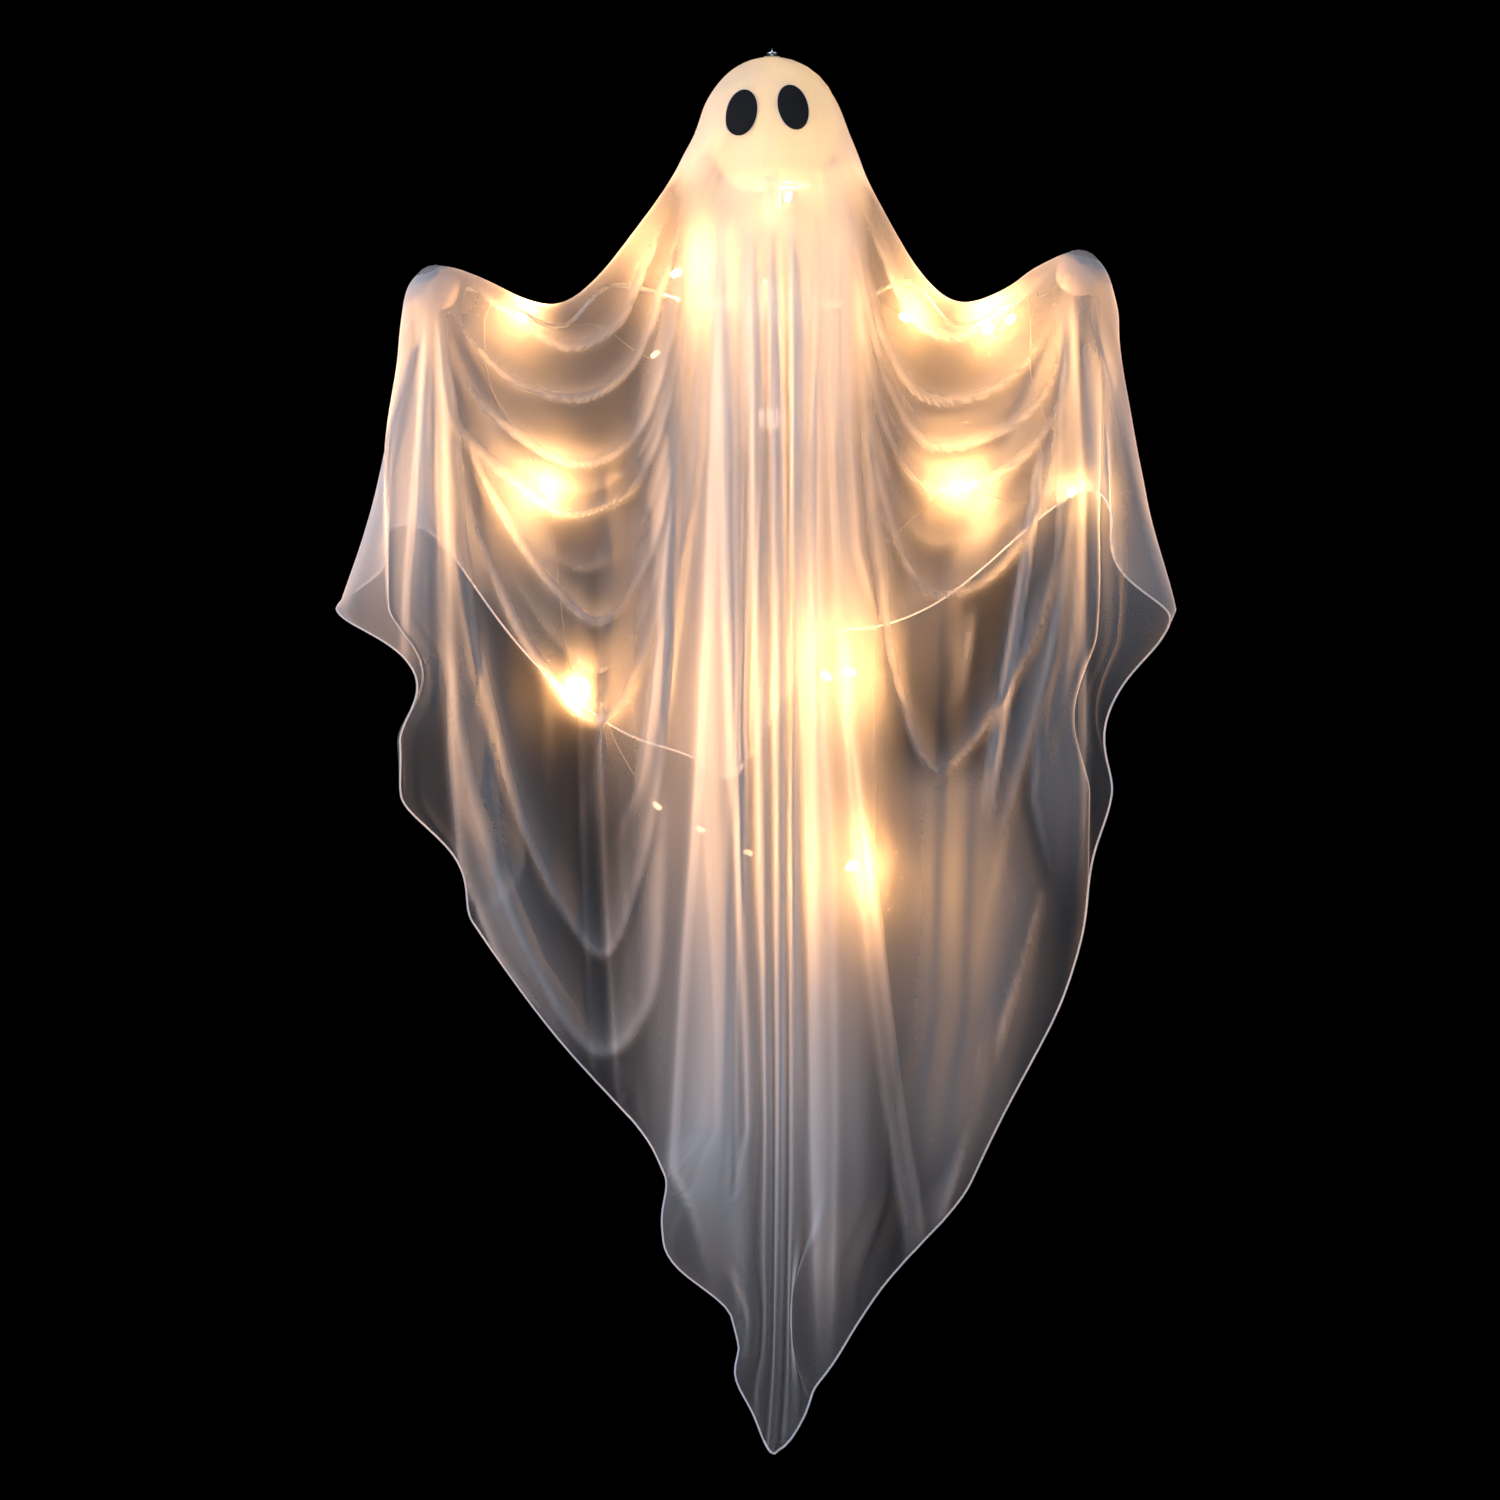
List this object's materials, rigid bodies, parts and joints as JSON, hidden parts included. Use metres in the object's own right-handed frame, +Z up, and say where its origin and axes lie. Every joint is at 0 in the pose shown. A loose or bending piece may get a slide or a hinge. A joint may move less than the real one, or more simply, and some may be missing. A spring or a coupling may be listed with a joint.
{
  "type": "hanging ghost decoration",
  "caption": "Hanging ghost of sheer cloth over a hollow head and two hinged wire arms, lit inside by a string of warm lamps.",
  "frame": {"origin": "where a hook bears, inside the top of the hanging eye", "axes": "+Z up, the front towards -Y, +X to the right in the front view"},
  "size_m": [0.7222, 0.1373, 1.2042],
  "materials": {
    "white_plastic": "satin moulded",
    "milky_plastic": "milky, lets light through",
    "clear_plastic": "clear",
    "dark_plastic": "satin moulded",
    "steel": "bright drawn wire",
    "brass": "bright",
    "cell_skin": "plain shrink sleeve",
    "board": "circuit board",
    "foam": "fine foam",
    "lamp": "clear drop",
    "cloth": "sheer voile, rolled hem",
    "felt": "matt felt"
  },
  "bodies": {
    "frame": {"crown_plug": "white_plastic", "neck_tube": "white_plastic", "neck_spider": "white_plastic", "tube_coupler": "white_plastic", "battery_tube": "white_plastic", "switch_housing": "white_plastic", "hub_front": "white_plastic", "hub_back": "white_plastic", "hanging_eye": "steel", "left_hub_screw": "steel", "left_pivot_screw": "steel", "left_friction_washer": "steel", "right_hub_screw": "steel", "right_pivot_screw": "steel", "right_friction_washer": "steel", "light_wire_lead": "clear_plastic", "light_wire_left_drop": "clear_plastic", "light_wire_right_drop": "clear_plastic", "lamp_01": "lamp", "lamp_02": "lamp", "lamp_03": "lamp", "lamp_07": "lamp", "lamp_08": "lamp", "lamp_09": "lamp", "lamp_10": "lamp", "lamp_11": "lamp", "lamp_12": "lamp", "lamp_13": "lamp", "lamp_14": "lamp", "lamp_15": "lamp", "lamp_16": "lamp", "cell_1": "cell_skin", "cell_2": "cell_skin", "cell_3": "cell_skin", "head_shell": "milky_plastic", "top_contact": "brass", "circuit_board": "board", "front_drape": "cloth", "back_drape": "cloth", "left_felt_eye": "felt", "right_felt_eye": "felt"},
    "left_arm": {"left_arm_lever": "white_plastic", "left_arm_wire": "steel", "left_hand_form": "foam", "left_wire_clip": "clear_plastic", "light_wire_left_arm": "clear_plastic", "lamp_04": "lamp", "lamp_05": "lamp", "lamp_06": "lamp"},
    "right_arm": {"right_arm_lever": "white_plastic", "right_arm_wire": "steel", "right_hand_form": "foam", "right_wire_clip": "clear_plastic", "light_wire_right_arm": "clear_plastic", "lamp_17": "lamp", "lamp_18": "lamp", "lamp_19": "lamp"},
    "cap": {"battery_cap": "white_plastic", "contact_spring": "steel"},
    "slider": {"switch_slider": "dark_plastic"}
  },
  "joints": [
    {"name": "left_arm_raise", "type": "hinge", "parent": "frame", "child": "left_arm", "pos_m": [-0.024, 0, -0.218], "axis": [0, 1, 0], "range_deg": [-22, 12], "deforming": ["front_drape", "back_drape"]},
    {"name": "right_arm_raise", "type": "hinge", "parent": "frame", "child": "right_arm", "pos_m": [0.024, 0, -0.218], "axis": [0, -1, 0], "range_deg": [-22, 12], "deforming": ["front_drape", "back_drape"]},
    {"name": "cap_turn", "type": "hinge", "parent": "frame", "child": "cap", "pos_m": [0, 0, -0.33], "axis": [0, 0, 1], "range_deg": [0, 60]},
    {"name": "switch_slide", "type": "slide", "parent": "frame", "child": "slider", "axis": [0, 0, -1], "range_m": [0, 0.004]}
  ]
}
